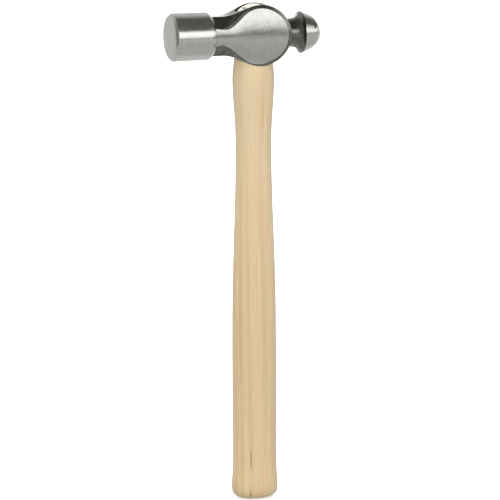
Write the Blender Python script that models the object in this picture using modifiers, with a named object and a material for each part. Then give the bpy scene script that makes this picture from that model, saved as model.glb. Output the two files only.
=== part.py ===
"""Ball-peen hammer: a forged steel head wedged onto a turned oval wooden handle.

Frame: metres, +Z up along the handle towards the head, origin at the middle of the
handle's flat butt end. The striking face looks along -X, the ball along +X, and the
flat cheeks along -Y and +Y.
Run with: blender --background --python part.py
"""
import math

import bmesh
import bpy

MM = 0.001
GAP = 0.3 * MM                      # clearance between neighbouring pieces

# Head, along X from the centre of the round cheeks
HEAD_HEIGHT = 382.0 * MM            # head axis above the butt end
CHEEK_OFFSET = 3.5 * MM             # centre of the cheeks ahead of the handle axis
CHEEK_RADIUS = 24.8 * MM
CHEEK_HALF_THICKNESS = 15.4 * MM
CHEEK_RIM = 2.3 * MM                # width of the bevelled rim round each cheek
CHEEK_RIM_DEPTH = 1.3 * MM
NECK_HALF_HEIGHT = 16.0 * MM
NECK_FLAT_HALF_HEIGHT = 6.5 * MM    # half height of the neck's side flats
NECK_TOP_HALF_WIDTH = 6.5 * MM      # half width of the neck's top and bottom flats
NECK_END = -44.0 * MM               # the neck ends inside the poll

POLL_RADIUS = 19.7 * MM
POLL_FACE = -75.2 * MM              # flat centre of the striking face
POLL_CROWN = 0.5 * MM               # how far the crowned face falls to its edge
POLL_CHAMFER = 2.3 * MM
POLL_BACK = -43.3 * MM              # where the cylinder ends and the rear bevel starts
POLL_BACK_BEVEL = 2.4 * MM
FACE_FLAT_RADIUS = 8.0 * MM

PEEN_NECK_RADIUS = 11.6 * MM
COVE_START = 27.5 * MM
FLANGE_POSITION = 36.9 * MM
FLANGE_RADIUS = 17.5 * MM
BALL_RADIUS = 15.35 * MM
BALL_CENTRE = 37.9 * MM

# Eye and tenon, ovals across the handle axis (half sizes along X and Y)
EYE_HALF_LENGTH = 15.0 * MM
EYE_HALF_WIDTH = 9.3 * MM
EYE_FLARES = ((-30.0, 0.6), (-14.0, 0.0), (8.0, 0.0), (30.0, 1.1))  # height, widening
TENON_RECESS = 0.6 * MM             # tenon end below the top of the head

# Handle outline: height above the butt end, half width along X, half depth along Y
HANDLE_STATIONS = (
    (0.0, 8.5, 6.2),
    (0.9, 12.8, 9.3),
    (2.3, 15.9, 11.7),
    (4.2, 17.9, 13.4),
    (7.0, 19.0, 14.3),
    (12.0, 19.3, 14.5),
    (18.0, 18.9, 14.2),
    (26.0, 18.4, 13.8),
    (44.0, 18.2, 13.7),
    (100.0, 18.45, 13.8),
    (135.0, 18.4, 13.8),
    (164.0, 18.15, 13.6),
    (204.0, 17.15, 12.9),
    (243.0, 15.8, 11.9),
    (287.0, 14.85, 11.2),
    (312.0, 15.55, 11.9),
    (326.0, 16.6, 12.7),
    (340.0, 17.4, 13.3),
    (349.0, 17.4, 13.2),
    (358.0, 16.5, 12.4),
    (366.0, 15.6, 11.3),
)
HANDLE_RING_STEP = 4.5 * MM
HANDLE_SEGMENTS = 56
SHOULDER_TOP = 366.0 * MM

# Wedges in the tenon's end
KERF_DEPTH = 30.0 * MM
WOOD_WEDGE_TOP = 3.6 * MM           # full thickness at the top of the head
WOOD_WEDGE_TIP = 1.0 * MM
WOOD_WEDGE_LENGTH = 28.8 * MM
STEEL_WEDGE_DEPTH = 17.0 * MM
STEEL_WEDGE_TOP = 2.2 * MM
STEEL_WEDGE_TIP = 0.6 * MM
STEEL_WEDGE_WIDTH = 10.5 * MM
STEEL_WEDGE_PLACES = (-7.0 * MM, 7.0 * MM)
WEDGE_TOP = HEAD_HEIGHT + CHEEK_RADIUS + 4.0 * MM   # before the crown is cut

TURN_STEPS = 72
OUTLINE_ARC_STEPS = 34
OUTLINE_OGEE_STEPS = 12
BEVEL_STEPS = 4


def clear_scene():
    for obj in list(bpy.data.objects):
        bpy.data.objects.remove(obj, do_unlink=True)


def new_collection(name, hidden=False):
    collection = bpy.data.collections.new(name)
    bpy.context.scene.collection.children.link(collection)
    collection.hide_render = hidden
    return collection


def new_material(name, colour, roughness, metallic):
    material = bpy.data.materials.new(name)
    material.use_nodes = True
    shader = material.node_tree.nodes["Principled BSDF"]
    shader.inputs["Base Color"].default_value = (*colour, 1.0)
    shader.inputs["Roughness"].default_value = roughness
    shader.inputs["Metallic"].default_value = metallic
    return material


def add_object(name, mesh, collection, material=None):
    obj = bpy.data.objects.new(name, mesh)
    collection.objects.link(obj)
    if material:
        mesh.materials.append(material)
    return obj


def add_cutter(name, mesh, collection):
    obj = add_object(name, mesh, collection)
    obj.display_type = "WIRE"
    obj.hide_render = True
    return obj


def boolean(obj, other, operation):
    modifier = obj.modifiers.new(f"{operation.lower()}_{other.name}", "BOOLEAN")
    modifier.operation = operation
    modifier.solver = "EXACT"
    modifier.object = other


def smooth(obj, angle=35.0):
    obj.data.shade_smooth()
    obj.data.set_sharp_from_angle(angle=math.radians(angle))


def turned(name, profile, collection):
    """Turn (radius, height) points about Z, then lay the solid along the head axis."""
    mesh = bpy.data.meshes.new(name)
    points = [(radius, 0.0, height) for radius, height in profile]
    edges = [(i, i + 1) for i in range(len(points) - 1)]
    mesh.from_pydata(points, edges, [])
    obj = add_cutter(name, mesh, collection)
    screw = obj.modifiers.new("turn", "SCREW")
    screw.axis = "Z"
    screw.steps = TURN_STEPS
    screw.render_steps = TURN_STEPS
    screw.use_merge_vertices = True
    screw.merge_threshold = 0.00001
    obj.rotation_euler.y = math.radians(90.0)
    obj.location = (CHEEK_OFFSET, 0.0, HEAD_HEIGHT)
    return obj


def loft(name, rings):
    """Skin a run of closed rings that all have the same number of points."""
    mesh = bpy.data.meshes.new(name)
    bm = bmesh.new()
    rows = [[bm.verts.new(point) for point in ring] for ring in rings]
    count = len(rows[0])
    for lower, upper in zip(rows, rows[1:]):
        for i in range(count):
            j = (i + 1) % count
            bm.faces.new((lower[i], lower[j], upper[j], upper[i]))
    bm.faces.new(reversed(rows[0]))
    bm.faces.new(rows[-1])
    bmesh.ops.recalc_face_normals(bm, faces=bm.faces)
    bm.to_mesh(mesh)
    bm.free()
    return mesh


def arc(centre, radius, start, end, steps):
    """Points (radius, height) on an arc, with angles in degrees from the +height axis."""
    points = []
    for i in range(steps + 1):
        angle = math.radians(start + (end - start) * i / steps)
        points.append((centre[0] + radius * math.sin(angle), centre[1] + radius * math.cos(angle)))
    return points


def hermite(start, start_slope, end, end_slope, t):
    """Height of a cubic from start to end, both (x, z), with the given slopes."""
    run = end[0] - start[0]
    h00 = 2 * t**3 - 3 * t**2 + 1
    h10 = t**3 - 2 * t**2 + t
    h01 = -2 * t**3 + 3 * t**2
    h11 = t**3 - t**2
    return h00 * start[1] + h10 * run * start_slope + h01 * end[1] + h11 * run * end_slope


def neck_outline(radius, join, waist, waist_height, end_height):
    """Closed (x, z) outline: a round cheek that runs through an ogee into the neck.

    join is the x where the ogee leaves the circle, waist the x of its lowest point.
    """
    join_height = math.sqrt(radius**2 - join**2)
    upper = [(NECK_END, end_height)]
    for i in range(OUTLINE_OGEE_STEPS):
        t = i / OUTLINE_OGEE_STEPS
        x = waist + (join - waist) * t
        upper.append((x, hermite((waist, waist_height), 0.0, (join, join_height), -join / join_height, t)))
    start = math.atan2(join_height, join)
    for i in range(OUTLINE_ARC_STEPS + 1):
        angle = start * (1.0 - i / OUTLINE_ARC_STEPS)
        upper.append((radius * math.cos(angle), radius * math.sin(angle)))
    lower = [(x, -z) for x, z in reversed(upper[:-1])]
    return upper + lower


def perimeter_outline(grow=0.0):
    """The head's side silhouette, grown by a clearance."""
    return neck_outline(
        CHEEK_RADIUS + grow, -7.0 * MM, -31.0 * MM, NECK_HALF_HEIGHT + grow, NECK_HALF_HEIGHT + grow
    )


def cheek_outline(inset):
    """Edge of the flat cheek; inset is how far it lies inside the round perimeter."""
    return neck_outline(
        CHEEK_RADIUS - inset,
        -14.0 * MM,
        -32.0 * MM,
        NECK_FLAT_HALF_HEIGHT + CHEEK_RIM - inset,
        NECK_FLAT_HALF_HEIGHT + CHEEK_RIM - inset + 0.6 * MM,
    )


def rim_half_width(x):
    """Half width of the top and bottom surface: wide on the cheeks, narrow on the neck."""
    wide = CHEEK_HALF_THICKNESS - CHEEK_RIM_DEPTH
    t = min(max((x + 31.0 * MM) / (28.0 * MM), 0.0), 1.0)
    blend = t * t * (3.0 - 2.0 * t)
    return NECK_TOP_HALF_WIDTH + (wide - NECK_TOP_HALF_WIDTH) * blend


def place(x, y, z):
    """A point given from the centre of the cheeks."""
    return (x + CHEEK_OFFSET, y, z + HEAD_HEIGHT)


def bevel_ring(cheek, perimeter, t, side):
    """A ring part of the way from a cheek's edge (t = 0) out to the perimeter (t = 1)."""
    ring = []
    for (cheek_x, cheek_z), (rim_x, rim_z) in zip(cheek, perimeter):
        x = cheek_x + (rim_x - cheek_x) * t
        y = CHEEK_HALF_THICKNESS + (rim_half_width(rim_x) - CHEEK_HALF_THICKNESS) * t
        z = cheek_z + (rim_z - cheek_z) * t
        ring.append(place(x, side * y, z))
    return ring


def body_rings():
    """Rings across the head, from the -Y cheek to the +Y cheek."""
    cheek = cheek_outline(CHEEK_RIM)
    perimeter = perimeter_outline()
    steps = [i / BEVEL_STEPS for i in range(BEVEL_STEPS + 1)]
    front = [bevel_ring(cheek, perimeter, t, -1.0) for t in steps]
    back = [bevel_ring(cheek, perimeter, t, 1.0) for t in reversed(steps)]
    return front + back


def poll_profile():
    """Half section of the poll from its face back to the neck, as (radius, x)."""
    edge = POLL_RADIUS - POLL_CHAMFER
    mid = 0.5 * (FACE_FLAT_RADIUS + edge)
    return [
        (0.0, POLL_BACK + 6.0 * MM),
        (12.0 * MM, POLL_BACK + 6.0 * MM),
        (POLL_RADIUS - 0.3 * MM - POLL_BACK_BEVEL, POLL_BACK + 3.4 * MM),
        (POLL_RADIUS - 0.3 * MM, POLL_BACK),
        (POLL_RADIUS, POLL_FACE + POLL_CROWN + POLL_CHAMFER),
        (edge, POLL_FACE + POLL_CROWN),
        (mid, POLL_FACE + 0.3 * POLL_CROWN),
        (FACE_FLAT_RADIUS, POLL_FACE),
        (0.0, POLL_FACE),
    ]


def peen_profile():
    """Half section of the ball end, from its tip back into the cheeks, as (radius, x)."""
    ball = arc((0.0, BALL_CENTRE), BALL_RADIUS, 0.0, 70.0, 18)
    cove_run = FLANGE_POSITION - COVE_START
    cove_rise = FLANGE_RADIUS - PEEN_NECK_RADIUS
    cove = []
    for i in range(9):
        angle = math.radians(90.0 * (1.0 - i / 8))
        cove.append((
            PEEN_NECK_RADIUS + cove_rise * (1.0 - math.cos(angle)),
            COVE_START + cove_run * math.sin(angle),
        ))
    return ball + cove + [(PEEN_NECK_RADIUS, 12.0 * MM), (0.0, 12.0 * MM)]


def ellipse(half_length, half_width, z):
    ring = []
    for i in range(HANDLE_SEGMENTS):
        angle = 2.0 * math.pi * i / HANDLE_SEGMENTS
        ring.append((half_length * math.cos(angle), half_width * math.sin(angle), z))
    return ring


def eye_shape(name, inset, collection):
    """The oval eye, a little wider at its top and bottom mouths than in the middle."""
    rings = []
    for z, flare in EYE_FLARES:
        grow = flare * MM - inset
        rings.append(ellipse(EYE_HALF_LENGTH + grow, EYE_HALF_WIDTH + grow, HEAD_HEIGHT + z * MM))
    return add_cutter(name, loft(name, rings), collection)


def make_head(parts, cutters, steel):
    head = add_object("hammer_head", loft("hammer_head", body_rings()), parts, steel)
    boolean(head, turned("poll_blank", poll_profile(), cutters), "UNION")
    boolean(head, turned("peen_blank", peen_profile(), cutters), "UNION")
    boolean(head, eye_shape("eye_cutter", 0.0, cutters), "DIFFERENCE")
    smooth(head)
    return head


def station_value(height, column):
    """Smooth value of the handle outline at a height, by Catmull-Rom through the stations."""
    stations = HANDLE_STATIONS
    last = len(stations) - 1
    height = height / MM
    index = 0
    while index < last - 1 and stations[index + 1][0] < height:
        index += 1
    before = stations[max(index - 1, 0)]
    start = stations[index]
    end = stations[index + 1]
    after = stations[min(index + 2, last)]
    run = end[0] - start[0]
    slope_start = (end[column] - before[column]) / (end[0] - before[0])
    slope_end = (after[column] - start[column]) / (after[0] - start[0])
    t = (height - start[0]) / run
    return MM * hermite((start[0], start[column]), slope_start, (end[0], end[column]), slope_end, t)


def shaft_heights():
    """Ring heights: every station near the butt, then even steps up to the shoulder."""
    heights = [height * MM for height, _, _ in HANDLE_STATIONS if height < 12.0]
    count = math.ceil((SHOULDER_TOP - 12.0 * MM) / HANDLE_RING_STEP)
    for i in range(count + 1):
        heights.append(12.0 * MM + (SHOULDER_TOP - 12.0 * MM) * i / count)
    return heights


def saddle_cutter(collection):
    """The head's side silhouette grown by the gap: it hollows the handle's shoulder."""
    rings = []
    for y in (-20.0 * MM, 20.0 * MM):
        rings.append([place(x, y, z) for x, z in perimeter_outline(GAP)])
    return add_cutter("saddle_cutter", loft("saddle_cutter", rings), collection)


def crown_cutter(name, below, collection):
    """A wide ring segment above the head's round top: it domes what it cuts."""
    radius = CHEEK_RADIUS - below
    arch = []
    for i in range(33):
        angle = math.pi * i / 32
        arch.append((radius * math.cos(angle), radius * math.sin(angle)))
    outer = [(-40.0 * MM, 0.0), (-40.0 * MM, 60.0 * MM), (40.0 * MM, 60.0 * MM), (40.0 * MM, 0.0)]
    outline = arch + outer
    rings = []
    for y in (-25.0 * MM, 25.0 * MM):
        rings.append([place(x, y, z) for x, z in outline])
    return add_cutter(name, loft(name, rings), collection)


def wedge_mesh(name, centre_x, length, width, top_size, tip_size, top, bottom, along_x):
    """A wedge that tapers downwards; along_x says which way its broad faces run."""
    rings = []
    for z, thickness in ((bottom, tip_size), (top, top_size)):
        half_x = 0.5 * (length if along_x else thickness)
        half_y = 0.5 * (thickness if along_x else width)
        rings.append([
            (centre_x - half_x, -half_y, z),
            (centre_x + half_x, -half_y, z),
            (centre_x + half_x, half_y, z),
            (centre_x - half_x, half_y, z),
        ])
    return loft(name, rings)


def wood_wedge_mesh(name, grow=0.0):
    length = WOOD_WEDGE_LENGTH + (20.0 * MM if grow else 0.0)
    bottom = HEAD_HEIGHT + CHEEK_RADIUS - KERF_DEPTH - grow
    return wedge_mesh(
        name, 0.0, length, 0.0, WOOD_WEDGE_TOP + 2 * grow, WOOD_WEDGE_TIP + 2 * grow,
        WEDGE_TOP, bottom, True,
    )


def steel_wedge_mesh(name, centre_x, grow=0.0):
    bottom = HEAD_HEIGHT + CHEEK_RADIUS - STEEL_WEDGE_DEPTH - grow
    return wedge_mesh(
        name, centre_x, 0.0, STEEL_WEDGE_WIDTH + 2 * grow, STEEL_WEDGE_TOP + 2 * grow,
        STEEL_WEDGE_TIP + 2 * grow, WEDGE_TOP, bottom, False,
    )


def make_handle(parts, cutters, wood, pockets, crown):
    rings = [ellipse(station_value(z, 1), station_value(z, 2), z) for z in shaft_heights()]
    handle = add_object("handle", loft("handle", rings), parts, wood)
    boolean(handle, saddle_cutter(cutters), "DIFFERENCE")
    boolean(handle, eye_shape("tenon_blank", GAP, cutters), "UNION")
    boolean(handle, crown, "DIFFERENCE")
    kerf = add_cutter("kerf_cutter", wood_wedge_mesh("kerf_cutter", GAP), cutters)
    boolean(handle, kerf, "DIFFERENCE")
    for pocket in pockets:
        boolean(handle, pocket, "DIFFERENCE")
    smooth(handle)
    return handle


def make_wood_wedge(parts, wood, pockets, crown):
    wedge = add_object("wood_wedge", wood_wedge_mesh("wood_wedge"), parts, wood)
    boolean(wedge, crown, "DIFFERENCE")
    for pocket in pockets:
        boolean(wedge, pocket, "DIFFERENCE")
    smooth(wedge)
    return wedge


def make_steel_wedges(parts, steel, crown):
    for number, x in enumerate(STEEL_WEDGE_PLACES, start=1):
        name = f"steel_wedge_{number}"
        wedge = add_object(name, steel_wedge_mesh(name, x), parts, steel)
        boolean(wedge, crown, "DIFFERENCE")
        smooth(wedge)


def main():
    clear_scene()
    parts = new_collection("ball_peen_hammer")
    cutters = new_collection("cutters", hidden=True)
    crown = crown_cutter("crown_cutter", TENON_RECESS, cutters)
    pockets = []
    for number, x in enumerate(STEEL_WEDGE_PLACES, start=1):
        name = f"pocket_cutter_{number}"
        pockets.append(add_cutter(name, steel_wedge_mesh(name, x, GAP), cutters))

    make_head(parts, cutters, new_material("forged_steel", (0.53, 0.53, 0.50), 0.28, 1.0))
    make_handle(parts, cutters, new_material("pale_wood", (0.71, 0.53, 0.33), 0.55, 0.0), pockets, crown)
    make_wood_wedge(parts, new_material("wedge_wood", (0.45, 0.26, 0.13), 0.6, 0.0), pockets, crown)
    make_steel_wedges(parts, new_material("wedge_steel", (0.36, 0.36, 0.37), 0.4, 1.0), crown)


main()
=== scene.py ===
"""Looks of the ball-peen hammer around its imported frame, in metres and in the frame's axes.

The head is ground bright on its face, poll, cheeks and ball, and left dark from the forge
on its neck facets, rim and cove. The handle is pale straight-grained wood.
"""

import math

import bmesh
import bpy
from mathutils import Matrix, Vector


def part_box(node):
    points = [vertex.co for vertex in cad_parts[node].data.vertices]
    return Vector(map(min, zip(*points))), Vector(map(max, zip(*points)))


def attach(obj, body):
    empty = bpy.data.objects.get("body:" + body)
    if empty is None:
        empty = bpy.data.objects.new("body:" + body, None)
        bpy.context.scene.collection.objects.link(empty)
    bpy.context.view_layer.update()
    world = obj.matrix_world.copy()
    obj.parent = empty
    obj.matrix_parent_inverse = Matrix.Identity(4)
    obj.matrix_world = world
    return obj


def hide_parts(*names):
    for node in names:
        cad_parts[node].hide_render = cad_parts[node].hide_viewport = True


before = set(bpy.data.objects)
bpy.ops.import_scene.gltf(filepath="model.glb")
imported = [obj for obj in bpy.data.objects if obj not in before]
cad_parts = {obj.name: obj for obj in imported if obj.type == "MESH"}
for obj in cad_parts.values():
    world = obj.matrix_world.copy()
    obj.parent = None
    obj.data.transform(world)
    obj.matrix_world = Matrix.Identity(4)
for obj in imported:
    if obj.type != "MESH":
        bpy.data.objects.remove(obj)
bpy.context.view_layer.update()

MM = 0.001
GAP = 0.3 * MM

head_low, head_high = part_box("hammer_head")

# Head: main sizes from the frame, the rest measured from the centre of the cheeks
HEAD_HEIGHT = 0.5 * (head_low.z + head_high.z)
CHEEK_RADIUS = 0.5 * (head_high.z - head_low.z)
POLL_RADIUS = head_high.y
CHEEK_X = 3.5 * MM                  # centre of the cheeks ahead of the handle axis
CHEEK_HALF = 15.4 * MM              # half thickness at the middle of the cheeks
CROWN_RADIUS = 105.0 * MM           # the cheeks are ground slightly round about the head axis
NECK_CROWN_RADIUS = 48.0 * MM       # and the sides of the neck more so
RIM_DROP = 0.6 * MM                 # from the ground edge in to the round rim
NECK_TOP_HALF = 6.5 * MM
NECK_END = -44.0 * MM
OGEE_STEPS = 26
ARC_STEPS = 90
CORNER_STEPS = 4
FLAT_ROWS = 16                      # rows of points up one bright cheek
GROUND_ROWS = FLAT_ROWS + 10        # rows of faces with the bright finish

# Outlines of a cheek, from its bright face out to the rim: left and right radius of the
# circle, where the ogee leaves the circle, the waist, and heights at waist and neck end
CHEEK_OUTLINE = (22.6, 21.75, -13.5, -31.0, 6.2, 7.4)
GROUND_OUTLINE = (24.2, 22.05, -13.5, -34.0, 6.9, 7.9)
RIM_OUTLINE = (CHEEK_RADIUS / MM, CHEEK_RADIUS / MM, -7.0, -31.0, 16.0, 16.0)
SADDLE_OUTLINE = tuple(v + GAP / MM * grows for v, grows in zip(RIM_OUTLINE, (1, 1, 0, 0, 1, 1)))

FACE_X = head_low.x - CHEEK_X
TIP_X = head_high.x - CHEEK_X
POLL_BACK = -43.3 * MM              # where the rear bevel starts
POLL_CHAMFER = 2.3 * MM
FACE_CROWN = 0.5 * MM
BALL_RADIUS = 15.35 * MM
BALL_CENTRE = TIP_X - BALL_RADIUS
FLANGE_X = 36.1 * MM                # where the cove meets the flange's narrow outer land
FLANGE_RADIUS = 17.0 * MM
FLANGE_LAND = 0.9 * MM
COVE_START = 27.2 * MM
COVE_RADIUS = 11.6 * MM
EYE_HALF = (15.0 * MM, 9.3 * MM)
EYE_FLARES = ((-30.0, 0.6), (-14.0, 0.0), (8.0, 0.0), (30.0, 1.1))     # height, widening

POLISHED, FORGED, GROUND = range(3)     # head materials: poll and ball, scale, cheeks

# Dark and reddish marks in the handle's grain: centre and half size in mm, colour
FLECKS = (
    ((-7.2, -12.7, 34.0), (0.7, 3.0, 11.5), (0.30, 0.22, 0.10)),
    ((-7.8, -12.0, 5.0), (0.8, 4.0, 5.0), (0.30, 0.22, 0.10)),
    ((4.3, -11.9, 316.0), (0.5, 3.0, 24.0), (0.66, 0.38, 0.20)),
    ((3.3, -11.6, 284.0), (1.4, 3.0, 30.0), (0.80, 0.54, 0.43)),
)

# Handle outline: height, half width along X and half depth along Y
HANDLE_STATIONS = (
    (0.0, 8.5, 6.2), (0.9, 12.8, 9.3), (2.3, 15.9, 11.7), (4.2, 17.9, 13.4), (7.0, 19.0, 14.3),
    (12.0, 19.3, 14.5), (18.0, 18.9, 14.2), (26.0, 18.4, 13.8), (44.0, 18.2, 13.7),
    (100.0, 18.45, 13.8), (135.0, 18.4, 13.8), (164.0, 18.15, 13.6), (204.0, 17.15, 12.9),
    (243.0, 15.8, 11.9), (287.0, 14.85, 11.2), (312.0, 15.55, 11.9), (326.0, 16.6, 12.7),
    (340.0, 17.4, 13.3), (349.0, 17.4, 13.2), (358.0, 16.5, 12.4), (366.0, 15.6, 11.3),
)
TENON_RECESS = 1.1 * MM
KERF_DEPTH = 30.0 * MM
KERF_OVERRUN = 10.0 * MM             # the kerf runs out through both ends of the tenon
STEEL_WEDGE_DEPTH = 17.0 * MM
WOOD_WEDGE = (14.4 * MM, 0.5 * MM, 1.8 * MM)      # half length, half thickness at tip and top
STEEL_WEDGE = (5.25 * MM, 0.3 * MM, 1.1 * MM)     # half width, half thickness at tip and top
STEEL_WEDGES = {"steel_wedge_1": -7.0 * MM, "steel_wedge_2": 7.0 * MM}     # place along X

CAMERA_VIEW = (-18.4, 9.0, 4.5, -0.21)     # azimuth, elevation, distance (m), roll
CAMERA_LENS = 398.0
CAMERA_AIM = (-0.0030, 0.0010, 0.2051)


# ---------------------------------------------------------------- mesh helpers

def new_object(name, verts, faces, slots=None):
    """A mesh object; slots gives each face's material slot."""
    mesh = bpy.data.meshes.new(name)
    mesh.from_pydata(verts, [], faces)
    if slots:
        mesh.polygons.foreach_set("material_index", slots)
    bm = bmesh.new()
    bm.from_mesh(mesh)
    bmesh.ops.remove_doubles(bm, verts=bm.verts, dist=1e-7)
    bmesh.ops.recalc_face_normals(bm, faces=bm.faces)
    bm.to_mesh(mesh)
    bm.free()
    obj = bpy.data.objects.new(name, mesh)
    bpy.context.scene.collection.objects.link(obj)
    return obj


def boolean(obj, other, operation):
    modifier = obj.modifiers.new(other.name, "BOOLEAN")
    modifier.operation = operation
    modifier.solver = "EXACT"
    modifier.object = other


def bake(obj, cutters, sharp=32.0):
    """Apply the modifiers, drop the cutters and shade smooth up to the sharp angle."""
    graph = bpy.context.evaluated_depsgraph_get()
    mesh = bpy.data.meshes.new_from_object(obj.evaluated_get(graph))
    obj.modifiers.clear()
    obj.data = mesh
    for cutter in cutters:
        bpy.data.objects.remove(cutter, do_unlink=True)
    bm = bmesh.new()
    bm.from_mesh(mesh)
    bmesh.ops.remove_doubles(bm, verts=bm.verts, dist=0.004 * MM)
    bmesh.ops.dissolve_degenerate(bm, edges=bm.edges, dist=0.002 * MM)
    bm.to_mesh(mesh)
    bm.free()
    mesh.shade_smooth()
    mesh.set_sharp_from_angle(angle=math.radians(sharp))
    return obj


def toward(corner, other, radius):
    """A step from a corner towards its neighbour, at most 0.3 of the way."""
    run = other - corner
    return run.normalized() * min(radius, 0.3 * run.length)


def rounded(points, radii, steps=5):
    """A polyline whose inner corners are rounded, with extra points beside each corner."""
    result = [points[0]]
    for before, corner, after, radius in zip(points, points[1:], points[2:], radii):
        if radius == 0.0:
            result.append(corner)
            continue
        before, corner, after = Vector(before), Vector(corner), Vector(after)
        start = corner + toward(corner, before, radius)
        end = corner + toward(corner, after, radius)
        result.append(tuple(start + (start - corner) * 0.5))
        for i in range(steps + 1):
            t = i / steps
            point = start * (1 - t) ** 2 + corner * 2 * t * (1 - t) + end * t * t
            result.append(tuple(point))
        result.append(tuple(end + (end - corner) * 0.5))
    result.append(points[-1])
    return result


def turned(name, profile, polished_from=-math.inf, segments=180):
    """Turn (x, radius) points about the head axis; it is forged up to polished_from."""
    verts, faces, slots = [], [], []
    for x, radius in profile:
        for i in range(segments):
            angle = 2.0 * math.pi * i / segments
            verts.append((
                CHEEK_X + x, radius * math.cos(angle), HEAD_HEIGHT + radius * math.sin(angle)
            ))
    for row in range(len(profile) - 1):
        middle = 0.5 * (profile[row][0] + profile[row + 1][0])
        slot = POLISHED if middle > polished_from else FORGED
        for i in range(segments):
            j = (i + 1) % segments
            base, after = row * segments, (row + 1) * segments
            faces.append((base + i, base + j, after + j, after + i))
            slots.append(slot)
    return new_object(name, verts, faces, slots)


def loft(name, rings, slot=0):
    """Skin closed rings of equal length and close both ends."""
    count = len(rings[0])
    verts = [point for ring in rings for point in ring]
    faces = []
    for row in range(len(rings) - 1):
        base, after = row * count, (row + 1) * count
        for i in range(count):
            j = (i + 1) % count
            faces.append((base + i, base + j, after + j, after + i))
    faces.append(tuple(range(count)))
    faces.append(tuple(range(len(verts) - count, len(verts))))
    return new_object(name, verts, faces, [slot] * len(faces))


def smoothstep(value, start, end):
    t = min(max((value - start) / (end - start), 0.0), 1.0)
    return t * t * (3.0 - 2.0 * t)


def hermite(start, start_slope, end, end_slope, t):
    run = end[0] - start[0]
    h00 = 2 * t**3 - 3 * t**2 + 1
    h10 = t**3 - 2 * t**2 + t
    h01 = -2 * t**3 + 3 * t**2
    h11 = t**3 - t**2
    return h00 * start[1] + h10 * run * start_slope + h01 * end[1] + h11 * run * end_slope


# ---------------------------------------------------------------- head

def outline(sizes):
    """Upper half of a cheek outline: neck end, ogee up to the circle, round to the axis."""
    left_radius, right_radius, join, waist, waist_height, end_height = (v * MM for v in sizes)
    join_height = math.sqrt(left_radius**2 - join**2)
    points = []
    for i in range(4):
        t = i / 4
        x = NECK_END + (waist - NECK_END) * t
        points.append((x, end_height + (waist_height - end_height) * smoothstep(t, 0.0, 1.0)))
    for i in range(OGEE_STEPS):
        t = i / OGEE_STEPS
        x = waist + (join - waist) * t
        z = hermite((waist, waist_height), 0.0, (join, join_height), -join / join_height, t)
        points.append((x, z))
    start = math.atan2(join_height, join)
    for i in range(ARC_STEPS + 1):
        angle = start * (1.0 - i / ARC_STEPS)
        share = smoothstep(angle, math.radians(60.0), math.radians(125.0))
        radius = right_radius + (left_radius - right_radius) * share
        points.append((radius * math.cos(angle), radius * math.sin(angle)))
    return points


def crown_y(x, z):
    """Half thickness of the ground cheeks: round about the head axis, more so on the neck."""
    share = smoothstep(x, -27.0 * MM, -9.0 * MM)
    radius = NECK_CROWN_RADIUS + (CROWN_RADIUS - NECK_CROWN_RADIUS) * share
    return CHEEK_HALF - z * z / (2.0 * radius)


def between(start, end, count):
    start, end = Vector(start), Vector(end)
    return [tuple(start.lerp(end, (i + 1) / (count + 1))) for i in range(count)]


def body_column(cheek, ground, rim):
    """One cut through the body's upper half, from the middle of a cheek over the rim to y = 0."""
    flat = []
    for i in range(FLAT_ROWS):
        z = cheek[1] * (i / FLAT_ROWS)
        flat.append((cheek[0], crown_y(cheek[0], z), z))
    edge_y = crown_y(*cheek)
    chamfer = math.hypot(ground[0] - cheek[0], ground[1] - cheek[1])
    ground_y = edge_y - 0.9 * chamfer
    share = smoothstep(rim[0], -31.0 * MM, -3.0 * MM)
    rim_y = NECK_TOP_HALF + (ground_y - RIM_DROP - NECK_TOP_HALF) * share
    corners = [
        flat[-1],
        (cheek[0], edge_y, cheek[1]),
        (ground[0], ground_y, ground[1]),
        (rim[0], rim_y, rim[1]),
        (rim[0], 0.0, rim[1]),
    ]
    path = rounded(corners, (0.12 * MM, 0.22 * MM, 0.35 * MM), steps=CORNER_STEPS)
    rim = 1 + 2 * (CORNER_STEPS + 3)        # first point of the third rounding
    ground_to_rim = between(path[rim - 1], path[rim], 7)
    over_rim = between(path[-2], path[-1], 5)
    return flat[:-1] + path[:rim] + ground_to_rim + path[rim:-1] + over_rim + path[-1:]


def make_body():
    """Neck and cheeks as one closed skin: each column is mirrored into a full loop."""
    lines = [outline(sizes) for sizes in (CHEEK_OUTLINE, GROUND_OUTLINE, RIM_OUTLINE)]
    columns = [body_column(*row) for row in zip(*lines)]
    last = len(columns[0]) - 1
    verts, faces, slots = [], [], []
    loops = []
    for column in columns:
        loop = [(x, -y, z) for x, y, z in column]
        loop += [(x, y, z) for x, y, z in reversed(column[:-1])]
        loop += [(x, y, -z) for x, y, z in column[1:]]
        loop += [(x, -y, -z) for x, y, z in reversed(column[1:-1])]
        loops.append(loop)
    count = len(loops[0])

    def slot_of(i):
        row = i % (2 * last)
        row = min(row, 2 * last - 1 - row)
        return GROUND if row < GROUND_ROWS else FORGED

    for loop in loops:
        for x, y, z in loop:
            verts.append((x + CHEEK_X, y, z + HEAD_HEIGHT))
    for row in range(len(loops) - 1):
        for i in range(count):
            j = (i + 1) % count
            base, after = row * count, (row + 1) * count
            faces.append((base + i, base + j, after + j, after + i))
            slots.append(slot_of(i))
    faces.append(tuple(range(count)))
    slots.append(FORGED)
    return new_object("head", verts, faces, slots)


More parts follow.
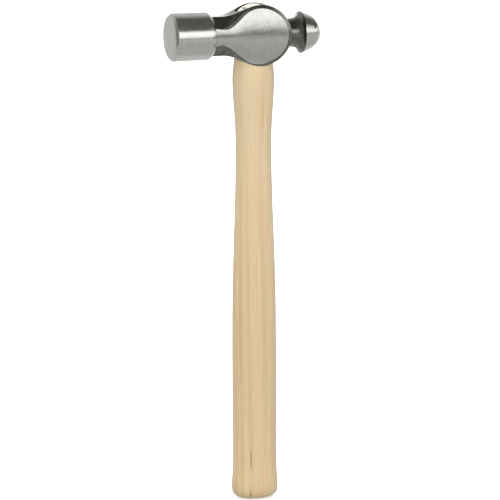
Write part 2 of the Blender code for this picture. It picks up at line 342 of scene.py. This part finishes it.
def poll_profile():
    """From inside the neck, round the poll, to the middle of the crowned face."""
    edge = POLL_RADIUS - POLL_CHAMFER
    corners = [
        (POLL_BACK + 6.0 * MM, 0.0),
        (POLL_BACK + 6.0 * MM, 11.0 * MM),
        (POLL_BACK + 3.4 * MM, POLL_RADIUS - 2.7 * MM),
        (POLL_BACK, POLL_RADIUS - 0.3 * MM),
        (FACE_X + FACE_CROWN + POLL_CHAMFER, POLL_RADIUS),
        (FACE_X + FACE_CROWN, edge),
        (FACE_X + 0.3 * FACE_CROWN, 0.5 * edge),
    ]
    path = rounded(corners, (0.0, 0.7 * MM, 0.8 * MM, 0.7 * MM, 1.1 * MM))[:-1]
    rows = []
    for start, end in zip(path, path[1:]):
        steps = max(1, round(math.dist(start, end) / (2.5 * MM)))
        for i in range(steps):
            t = i / steps
            rows.append((start[0] + (end[0] - start[0]) * t, start[1] + (end[1] - start[1]) * t))
    rows.append(path[-1])
    last_x, last_radius = path[-1]
    for i in range(1, 25):
        t = 1.0 - i / 24
        rows.append((FACE_X + (last_x - FACE_X) * t**2.4, last_radius * t))
    return rows


def peen_profile():
    """From the tip of the ball, over the flange and along the cove into the cheeks."""
    points = []
    for i in range(37):
        angle = math.radians(70.0 * i / 36)
        points.append((BALL_CENTRE + BALL_RADIUS * math.cos(angle), BALL_RADIUS * math.sin(angle)))
    cove = []
    for i in range(25):
        angle = math.radians(90.0 * (1.0 - i / 24))
        cove.append((
            COVE_START + (FLANGE_X - COVE_START) * math.sin(angle),
            COVE_RADIUS + (FLANGE_RADIUS - COVE_RADIUS) * (1.0 - math.cos(angle)),
        ))
    land = (FLANGE_X + FLANGE_LAND, FLANGE_RADIUS)
    lip = rounded([points[-1], land, cove[0], cove[1]], (0.25 * MM, 0.25 * MM))
    inside = 12.0 * MM                  # well within the cheeks
    return points[:-1] + lip[:-1] + cove[2:] + [(inside, COVE_RADIUS), (inside, 0.0)]


def ellipse(half_length, half_width, z, segments=144):
    ring = []
    for i in range(segments):
        angle = 2.0 * math.pi * i / segments
        ring.append((half_length * math.cos(angle), half_width * math.sin(angle), z))
    return ring


def eye_rings(inset):
    rings = []
    for step in range(31):
        z = -30.0 + 2.0 * step
        flare = 0.0
        for (low, wide), (high, narrow) in zip(EYE_FLARES, EYE_FLARES[1:]):
            if low <= z <= high:
                flare = wide + (narrow - wide) * (z - low) / (high - low)
        grow = flare * MM - inset
        rings.append(ellipse(EYE_HALF[0] + grow, EYE_HALF[1] + grow, HEAD_HEIGHT + z * MM))
    return rings


def make_head(materials):
    head = make_body()
    poll = turned("poll", poll_profile())
    peen = turned("peen", peen_profile(), FLANGE_X + 0.8 * FLANGE_LAND)
    eye = loft("eye", eye_rings(0.0), POLISHED)
    for obj in (head, poll, peen, eye):
        for material in materials:
            obj.data.materials.append(material)
    boolean(head, poll, "UNION")
    boolean(head, peen, "UNION")
    boolean(head, eye, "DIFFERENCE")
    return bake(head, (poll, peen, eye))


# ---------------------------------------------------------------- handle and wedges

def station_value(height, column):
    """Smooth value of the handle outline at a height, by Catmull-Rom through the stations."""
    stations = HANDLE_STATIONS
    last = len(stations) - 1
    height = height / MM
    index = 0
    while index < last - 1 and stations[index + 1][0] < height:
        index += 1
    before, start = stations[max(index - 1, 0)], stations[index]
    end, after = stations[index + 1], stations[min(index + 2, last)]
    slope_start = (end[column] - before[column]) / (end[0] - before[0])
    slope_end = (after[column] - start[column]) / (after[0] - start[0])
    t = (height - start[0]) / (end[0] - start[0])
    return MM * hermite((start[0], start[column]), slope_start, (end[0], end[column]), slope_end, t)


def shaft_rings():
    """Rings up the handle: across the butt, closely over its rounding, then evenly."""
    heights = [0.3 * MM * i for i in range(1, 40)]
    shoulder = HANDLE_STATIONS[-1][0] * MM
    count = 160
    heights += [12.0 * MM + (shoulder - 12.0 * MM) * i / count for i in range(count + 1)]
    half_length, half_width = station_value(0.0, 1), station_value(0.0, 2)
    rings = [ellipse(half_length * s, half_width * s, 0.0) for s in (0.3, 0.6, 0.85, 1.0)]
    return rings + [ellipse(station_value(z, 1), station_value(z, 2), z) for z in heights]


def saddle():
    """The head's side silhouette grown by the gap: it hollows the handle's shoulder."""
    upper = outline(SADDLE_OUTLINE)
    closed = upper + [(x, -z) for x, z in reversed(upper[:-1])]
    rings = [[(x + CHEEK_X, y, z + HEAD_HEIGHT) for x, z in closed] for y in (-20.0 * MM, 20.0 * MM)]
    return loft("saddle", rings)


def crown(below):
    """A block above the head's round top; it domes what it cuts."""
    radius, side, high, steps = CHEEK_RADIUS - below, 40.0 * MM, 60.0 * MM, 96
    angles = [math.pi * i / steps for i in range(steps + 1)]
    arch = [(radius * math.cos(angle), radius * math.sin(angle)) for angle in angles]
    arch += [(-side, 0.0), (-side, high), (side, high), (side, 0.0)]
    rings = [[(x + CHEEK_X, y, z + HEAD_HEIGHT) for x, z in arch] for y in (-25.0 * MM, 25.0 * MM)]
    return loft("crown", rings)


def wedge(name, centre_x, half_tip, half_top, bottom, steps=24):
    """A tapered plate: half sizes (x, y) at its tip and at the top of the head."""
    top = HEAD_HEIGHT + CHEEK_RADIUS + 4.0 * MM
    rings = []
    for i in range(steps + 1):
        t = i / steps
        half_x = half_tip[0] + (half_top[0] - half_tip[0]) * t
        half_y = half_tip[1] + (half_top[1] - half_tip[1]) * t
        z = bottom + (top - bottom) * t
        corners = ((-1, -1), (1, -1), (1, 1), (-1, 1))
        rings.append([(centre_x + sx * half_x, sy * half_y, z) for sx, sy in corners])
    return loft(name, rings)


def wood_wedge(name, grow=0.0):
    half_x, tip, top = WOOD_WEDGE
    half_x += KERF_OVERRUN if grow else 0.0
    bottom = HEAD_HEIGHT + CHEEK_RADIUS - KERF_DEPTH - grow
    return wedge(name, 0.0, (half_x, tip + grow), (half_x, top + grow), bottom)


def steel_wedge(name, centre_x, grow=0.0):
    half_y, tip, top = STEEL_WEDGE
    half_y += grow
    bottom = HEAD_HEIGHT + CHEEK_RADIUS - STEEL_WEDGE_DEPTH - grow
    return wedge(name, centre_x, (tip + grow, half_y), (top + grow, half_y), bottom)


def make_handle(material):
    handle = loft("handle_wood", shaft_rings())
    tenon = loft("tenon", eye_rings(GAP))
    cutters = [saddle(), crown(TENON_RECESS), wood_wedge("kerf", GAP)]
    cutters += [steel_wedge(name + "_pocket", x, GAP) for name, x in STEEL_WEDGES.items()]
    boolean(handle, cutters[0], "DIFFERENCE")
    boolean(handle, tenon, "UNION")
    for cutter in cutters[1:]:
        boolean(handle, cutter, "DIFFERENCE")
    bake(handle, cutters + [tenon])
    handle.data.materials.clear()
    handle.data.materials.append(material)
    return handle


def make_wood_wedge(material):
    obj = wood_wedge("wood_wedge_piece")
    cutters = [crown(TENON_RECESS)]
    cutters += [steel_wedge(name + "_pocket", x, GAP) for name, x in STEEL_WEDGES.items()]
    for cutter in cutters:
        boolean(obj, cutter, "DIFFERENCE")
    bake(obj, cutters)
    obj.data.materials.append(material)
    return obj


def make_steel_wedge(name, material):
    obj = steel_wedge(name + "_piece", STEEL_WEDGES[name])
    cutter = crown(TENON_RECESS)
    boolean(obj, cutter, "DIFFERENCE")
    bake(obj, (cutter,))
    obj.data.materials.append(material)
    return obj


# ---------------------------------------------------------------- materials

class Nodes:
    """Short calls for building a shader tree; sockets take numbers, colours or links."""

    def __init__(self, tree):
        self.tree = tree

    def add(self, kind, settings=None, **inputs):
        """A new node; inputs go by name, or by index as i0, i1 and so on."""
        node = self.tree.nodes.new(kind)
        for key, value in (settings or {}).items():
            setattr(node, key, value)
        for key, value in inputs.items():
            by_index = key[0] == "i" and key[1:].isdigit()
            socket = node.inputs[int(key[1:]) if by_index else key.replace("_", " ")]
            if isinstance(value, bpy.types.NodeSocket):
                self.tree.links.new(value, socket)
            else:
                socket.default_value = value
        return node

    def math(self, operation, a, b=0.0, c=0.0):
        return self.add("ShaderNodeMath", {"operation": operation}, i0=a, i1=b, i2=c).outputs[0]

    def ramp(self, value, low, high, to_low=0.0, to_high=1.0):
        node = self.add("ShaderNodeMapRange", {"interpolation_type": "SMOOTHSTEP"}, i0=value)
        for index, number in enumerate((low, high, to_low, to_high), start=1):
            node.inputs[index].default_value = number
        return node.outputs[0]

    def mix(self, share, a, b):
        """Blend two numbers."""
        return self.add("ShaderNodeMix", {"data_type": "FLOAT"}, i0=share, i2=a, i3=b).outputs[0]

    def tint(self, share, a, b, blend="MIX"):
        """Blend two colours."""
        settings = {"data_type": "RGBA", "blend_type": blend}
        return self.add("ShaderNodeMix", settings, i0=share, i6=a, i7=b).outputs[2]

    def place(self, scale, move=(0.0, 0.0, 0.0)):
        """Object coordinates in millimetres, scaled per axis and moved."""
        source = self.add("ShaderNodeTexCoord").outputs["Object"]
        factors = tuple(s / MM for s in scale)
        return self.add("ShaderNodeMapping", Vector=source, Scale=factors, Location=move).outputs[0]

    def axes(self, vector):
        return self.add("ShaderNodeSeparateXYZ", Vector=vector).outputs

    def noise(self, vector, detail=3.0, roughness=0.55):
        inputs = {"Vector": vector, "Scale": 1.0, "Detail": detail, "Roughness": roughness}
        return self.add("ShaderNodeTexNoise", **inputs).outputs["Fac"]


def new_material(name):
    material = bpy.data.materials.new(name)
    material.use_nodes = True
    shader = material.node_tree.nodes["Principled BSDF"]
    return material, Nodes(material.node_tree), shader


def rgb(red, green, blue):
    return (red, green, blue, 1.0)


def bump(nodes, shader, layers):
    """Chain (height, depth in mm) layers into the shader's normal."""
    normal = None
    for height, depth in layers:
        node = nodes.add("ShaderNodeBump", Height=height, Distance=depth * MM, Strength=1.0)
        if normal:
            nodes.tree.links.new(normal, node.inputs["Normal"])
        normal = node.outputs[0]
    nodes.tree.links.new(normal, shader.inputs["Normal"])


def bright_steel(name, tone, roughness, relief, sparkle):
    """Bright steel off the grinding belt: fine lines round the head, soft mottling, specks."""
    material, n, shader = new_material(name)
    blotch = n.noise(n.place((0.16, 0.16, 0.2)), 4.0, 0.6)
    grain = n.noise(n.place((1.5, 1.5, 1.5)), 5.0, 0.75)
    lines = n.noise(n.place((6.5, 0.35, 0.35)), 3.0, 0.6)
    waves = n.noise(n.place((0.5, 0.5, 0.5), (2.0, 9.0, 4.0)), 3.0, 0.6)
    specks = n.ramp(n.noise(n.place((0.95, 0.95, 0.95), (31.0, 7.0, 3.0)), 2.0, 0.5), 0.68, 0.76)
    dull, bright = (rgb(tone * share, tone * share, tone * share * 0.957) for share in (0.95, 1.05))
    colour = n.tint(n.ramp(blotch, 0.3, 0.7), dull, bright)
    colour = n.tint(n.ramp(grain, 0.35, 0.65, 0.0, sparkle), colour, rgb(0.36, 0.36, 0.345))
    colour = n.tint(n.math("MULTIPLY", specks, 0.3), colour, rgb(0.30, 0.29, 0.26))
    n.tree.links.new(colour, shader.inputs["Base Color"])
    shader.inputs["Metallic"].default_value = 1.0
    rough = n.mix(n.ramp(blotch, 0.3, 0.7), *roughness)
    rough = n.math("ADD", rough, n.ramp(grain, 0.3, 0.7, -0.03, 0.05))
    n.tree.links.new(rough, shader.inputs["Roughness"])
    bump(n, shader, ((grain, relief), (waves, relief), (lines, 0.006)))
    return material


def forged_steel():
    """Dark scale left by the forge: rough, mottled, lightly pitted."""
    material, n, shader = new_material("forged_steel")
    blotch = n.noise(n.place((0.22, 0.22, 0.22), (5.0, 2.0, 9.0)), 4.0, 0.6)
    grain = n.noise(n.place((1.3, 1.3, 1.3), (1.0, 4.0, 2.0)), 5.0, 0.65)
    pits = n.ramp(n.noise(n.place((1.1, 1.1, 1.1), (11.0, 17.0, 3.0)), 2.0, 0.5), 0.62, 0.75)
    colour = n.tint(n.ramp(blotch, 0.3, 0.7), rgb(0.135, 0.138, 0.124), rgb(0.23, 0.233, 0.212))
    colour = n.tint(n.ramp(grain, 0.45, 0.75, 0.0, 0.35), colour, rgb(0.30, 0.30, 0.28))
    colour = n.tint(n.math("MULTIPLY", pits, 0.5), colour, rgb(0.07, 0.062, 0.05))
    n.tree.links.new(colour, shader.inputs["Base Color"])
    shader.inputs["Metallic"].default_value = 1.0
    n.tree.links.new(n.ramp(grain, 0.25, 0.75, 0.14, 0.26), shader.inputs["Roughness"])
    bump(n, shader, ((grain, 0.018), (pits, -0.03)))
    return material


def wedge_steel():
    """Plain steel, hammered flat and scuffed."""
    material, n, shader = new_material("wedge_steel")
    grain = n.noise(n.place((1.6, 1.6, 1.6), (3.0, 3.0, 3.0)), 4.0, 0.6)
    colour = n.tint(n.ramp(grain, 0.35, 0.65), rgb(0.46, 0.455, 0.44), rgb(0.62, 0.61, 0.59))
    n.tree.links.new(colour, shader.inputs["Base Color"])
    shader.inputs["Metallic"].default_value = 1.0
    n.tree.links.new(n.ramp(grain, 0.3, 0.7, 0.32, 0.5), shader.inputs["Roughness"])
    bump(n, shader, ((grain, 0.04),))
    return material


def wood(name, pale, warm, pore, pith, ring_pitch, finish, seal):
    """Solid wood: rings round a far pith, stripes, fibres and pores that run up the grain."""
    material, n, shader = new_material(name)
    sway = n.noise(n.place((0.02, 0.02, 0.004)), 2.0, 0.5)
    axes = n.axes(n.place((1.0, 1.0, 1.0), (*pith, 0.0)))
    across = n.math("POWER", axes[0], 2.0)
    radius = n.math("SQRT", n.math("ADD", across, n.math("POWER", axes[1], 2.0)))
    radius = n.math("ADD", radius, n.math("MULTIPLY", sway, 5.0))
    ring = n.math("FRACT", n.math("DIVIDE", radius, ring_pitch))
    late = n.math("MULTIPLY", n.ramp(ring, 0.35, 0.92), n.ramp(ring, 1.0, 0.95))
    stripes = n.noise(n.place((0.21, 0.21, 0.0035), (4.0, 8.0, 1.0)), 3.0, 0.55)
    pink = n.noise(n.place((0.16, 0.16, 0.006), (14.0, 1.0, 5.0)), 2.0, 0.5)
    fibre = n.noise(n.place((2.6, 2.6, 0.05)), 4.0, 0.65)
    pores = n.noise(n.place((3.3, 3.3, 0.085), (9.0, 2.0, 7.0)), 2.0, 0.5)
    pores = n.math("MULTIPLY", n.ramp(pores, 0.62, 0.74), n.ramp(ring, 0.6, 0.1, 0.25, 1.0))
    colour = n.tint(n.ramp(stripes, 0.35, 0.65), pale, warm)
    colour = n.tint(n.ramp(pink, 0.47, 0.64, 0.0, 0.45), colour, rgb(0.79, 0.56, 0.40))
    colour = n.tint(n.math("MULTIPLY", late, 0.14), colour, pore)
    colour = n.tint(n.ramp(fibre, 0.4, 0.65, 0.0, 0.5), colour, warm)
    colour = n.tint(n.math("MULTIPLY", pores, 0.45), colour, pore)
    streak = n.noise(n.place((0.8, 0.8, 0.011), (3.0, 6.0, 2.0)), 1.0, 0.4)
    colour = n.tint(n.ramp(streak, 0.58, 0.67, 0.0, 0.6), colour, rgb(0.66, 0.42, 0.25))
    # Painted light: paler towards the head, lifting the shade that the head casts on the upper handle.
    height = n.axes(n.place((1.0, 1.0, 1.0)))[2]
    colour = n.tint(n.ramp(height, 120.0, 330.0, 0.0, 0.42), colour, rgb(0.86, 0.71, 0.48))
    for centre, size, stain in FLECKS:
        offset = n.place([1.0 / s for s in size], [-c / s for c, s in zip(centre, size)])
        reach = n.add("ShaderNodeVectorMath", {"operation": "LENGTH"}, Vector=offset).outputs[1]
        reach = n.math("ADD", reach, n.math("MULTIPLY", fibre, 0.8))
        colour = n.tint(n.ramp(reach, 1.5, 0.8, 0.0, 0.75), colour, rgb(*stain))
    # Painted shade: the wood turns greyer where its surface turns away from the view, darkening the
    # handle's edges.
    edge = n.add("ShaderNodeLayerWeight", Blend=0.35).outputs["Facing"]
    colour = n.tint(n.ramp(edge, 0.33, 0.78, 0.0, 0.75), colour, rgb(0.55, 0.55, 0.48))
    upward = n.axes(n.add("ShaderNodeNewGeometry").outputs["True Normal"])[2]
    sealed = n.math("MULTIPLY", n.ramp(upward, 0.6, 0.85), seal)
    colour = n.tint(sealed, colour, rgb(0.73, 0.70, 0.63))
    n.tree.links.new(colour, shader.inputs["Base Color"])
    n.tree.links.new(n.ramp(fibre, 0.3, 0.7, finish - 0.06, finish + 0.07), shader.inputs["Roughness"])
    shader.inputs["IOR"].default_value = 1.45
    bump(n, shader, ((fibre, 0.03), (pores, -0.05)))
    return material


# ---------------------------------------------------------------- studio

def direction(azimuth, elevation):
    """Unit vector towards an azimuth (0 is the front, 90 the ball's side) and elevation."""
    turn, lift = math.radians(azimuth), math.radians(elevation)
    return Vector((math.sin(turn) * math.cos(lift), -math.cos(turn) * math.cos(lift), math.sin(lift)))


def make_world():
    """Soft studio surroundings for reflections; the camera itself sees plain white.

    A broad front softbox stands over a pale table, with a dark gap at the horizon between
    them. It is dim overhead, with a bright band low behind, a darker strip low on the left
    and an even patch that the striking face reflects.
    """
    world = bpy.data.worlds.new("studio")
    world.use_nodes = True
    bpy.context.scene.world = world
    n = Nodes(world.node_tree)
    ray = n.add("ShaderNodeTexCoord").outputs["Generated"]
    axes = n.axes(ray)
    lift = n.math("DEGREES", n.math("ARCSINE", axes[2]))
    turn = n.math("DEGREES", n.math("ARCTAN2", axes[0], n.math("MULTIPLY", axes[1], -1.0)))
    away = n.math("ABSOLUTE", turn)
    table = n.mix(n.ramp(lift, -22.0, -8.0), 0.57, 0.70)
    table = n.mix(n.ramp(away, 95.0, 130.0), table, 0.75)
    softbox = n.math("MULTIPLY", n.ramp(turn, -32.0, -18.0), n.ramp(turn, 125.0, 95.0))
    softbox = n.math("MULTIPLY", softbox, n.ramp(lift, 32.0, 24.5))
    side = n.math("MULTIPLY", n.ramp(turn, 55.0, 85.0), n.ramp(lift, 8.0, 14.0))
    softbox = n.math("MULTIPLY", softbox, n.math("SUBTRACT", 1.0, side))
    above = n.mix(n.ramp(lift, 35.0, 60.0), 0.42, 0.13)
    above = n.mix(n.ramp(turn, -30.0, 0.0), above, 0.13)
    above = n.mix(softbox, above, n.ramp(lift, -3.0, 11.0, 1.05, 1.74))
    behind = n.mix(n.ramp(lift, 9.0, 17.0), 1.8, 0.68)
    behind = n.mix(n.ramp(lift, 44.0, 70.0), behind, 0.2)
    above = n.mix(n.ramp(away, 109.0, 139.0), above, behind)
    gap = n.mix(n.ramp(away, 95.0, 130.0), 0.13, 1.2)
    above = n.mix(n.ramp(lift, -2.6, -0.8), gap, above)
    level = n.mix(n.ramp(lift, -6.6, -5.4), table, above)
    left = n.math("MULTIPLY", n.ramp(turn, -100.0, -88.0), n.ramp(turn, -48.0, -56.0))
    level = n.mix(n.math("MULTIPLY", left, n.ramp(lift, -32.0, -22.0)), level, 0.28)
    end_on = n.math("MULTIPLY", n.ramp(turn, -110.0, -125.0), n.ramp(lift, 42.0, 28.0))
    level = n.mix(end_on, level, 0.66)
    surroundings = n.add("ShaderNodeBackground", Color=rgb(1.0, 1.0, 0.985), Strength=level)
    backdrop = n.add("ShaderNodeBackground", Color=rgb(1.0, 1.0, 1.0), Strength=1.0)
    camera_ray = n.add("ShaderNodeLightPath").outputs["Is Camera Ray"]
    shares = {"i0": camera_ray, "i1": surroundings.outputs[0], "i2": backdrop.outputs[0]}
    shown = n.add("ShaderNodeMixShader", **shares)
    n.tree.links.new(shown.outputs[0], n.tree.nodes["World Output"].inputs["Surface"])


def soft_sun(name, azimuth, elevation, strength):
    """Even light from a wide patch of sky: it fills matt surfaces, not reflections."""
    data = bpy.data.lights.new(name, "SUN")
    data.angle = math.radians(60.0)
    data.energy = strength
    lamp = bpy.data.objects.new(name, data)
    bpy.context.scene.collection.objects.link(lamp)
    lamp.rotation_euler = (-direction(azimuth, elevation)).to_track_quat("-Z", "Y").to_euler()
    lamp.visible_glossy = False


def make_floor():
    """A pale, faintly lit sheet that shows only to the camera."""
    half = 12.0                         # metres: it reaches past every view
    corners = [(-half, -half, 0.0), (half, -half, 0.0), (half, half, 0.0), (-half, half, 0.0)]
    floor = new_object("floor", corners, [(0, 1, 2, 3)])
    material, n, shader = new_material("pale_floor")
    shade = n.noise(n.place((0.004, 0.004, 0.004)), 2.0, 0.5)
    colour = n.tint(shade, rgb(0.9, 0.9, 0.895), rgb(0.93, 0.93, 0.93))
    n.tree.links.new(colour, shader.inputs["Base Color"])
    shader.inputs["Roughness"].default_value = 0.9
    shader.inputs["Specular IOR Level"].default_value = 0.1
    shader.inputs["Emission Color"].default_value = rgb(1.0, 1.0, 1.0)
    shader.inputs["Emission Strength"].default_value = 0.45
    floor.data.materials.append(material)
    floor.visible_glossy = False
    floor.visible_diffuse = False


def make_camera():
    """Telephoto view from the front left, slightly above the head."""
    azimuth, elevation, distance, roll = CAMERA_VIEW
    data = bpy.data.cameras.new("camera")
    data.lens = CAMERA_LENS
    camera = bpy.data.objects.new("camera", data)
    bpy.context.scene.collection.objects.link(camera)
    back = direction(azimuth, elevation)
    camera.location = Vector(CAMERA_AIM) + back * distance
    camera.rotation_euler = (-back).to_track_quat("-Z", "Y").to_euler()
    camera.rotation_euler.rotate_axis("Z", math.radians(roll))
    bpy.context.scene.camera = camera


# ---------------------------------------------------------------- assembly

def show(piece, slot, *nodes):
    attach(piece, "root")
    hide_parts(*nodes)


make_camera()
make_world()
make_floor()
soft_sun("fill", -48.0, 22.0, 1.1)
soft_sun("overhead", 0.0, 88.0, 3.6)

head_materials = (
    bright_steel("polished_steel", tone=0.62, roughness=(0.16, 0.22), relief=0.010, sparkle=0.15),
    forged_steel(),
    bright_steel("ground_steel", tone=0.585, roughness=(0.10, 0.14), relief=0.032, sparkle=0.6),
)
show(make_head(head_materials), "head_steel", "hammer_head")
pale_wood = wood(
    "pale_wood", pale=rgb(0.74, 0.595, 0.36), warm=rgb(0.635, 0.465, 0.25), pore=rgb(0.45, 0.29, 0.15),
    pith=(110.0, 22.0), ring_pitch=1.5, finish=0.42, seal=0.85,
)
handle = make_handle(pale_wood)
handle.visible_glossy = False
show(handle, "handle_wood", "handle")
dark_wood = wood(
    "dark_wood", pale=rgb(0.62, 0.46, 0.28), warm=rgb(0.52, 0.36, 0.20), pore=rgb(0.25, 0.15, 0.08),
    pith=(8.0, 30.0), ring_pitch=1.6, finish=0.6, seal=0.9,
)
show(make_wood_wedge(dark_wood), "wedge_wood", "wood_wedge")
scuffed = wedge_steel()
for wedge_name in STEEL_WEDGES:
    show(make_steel_wedge(wedge_name, scuffed), "wedge_steel", wedge_name)

bpy.context.scene.view_settings.view_transform = "Standard"
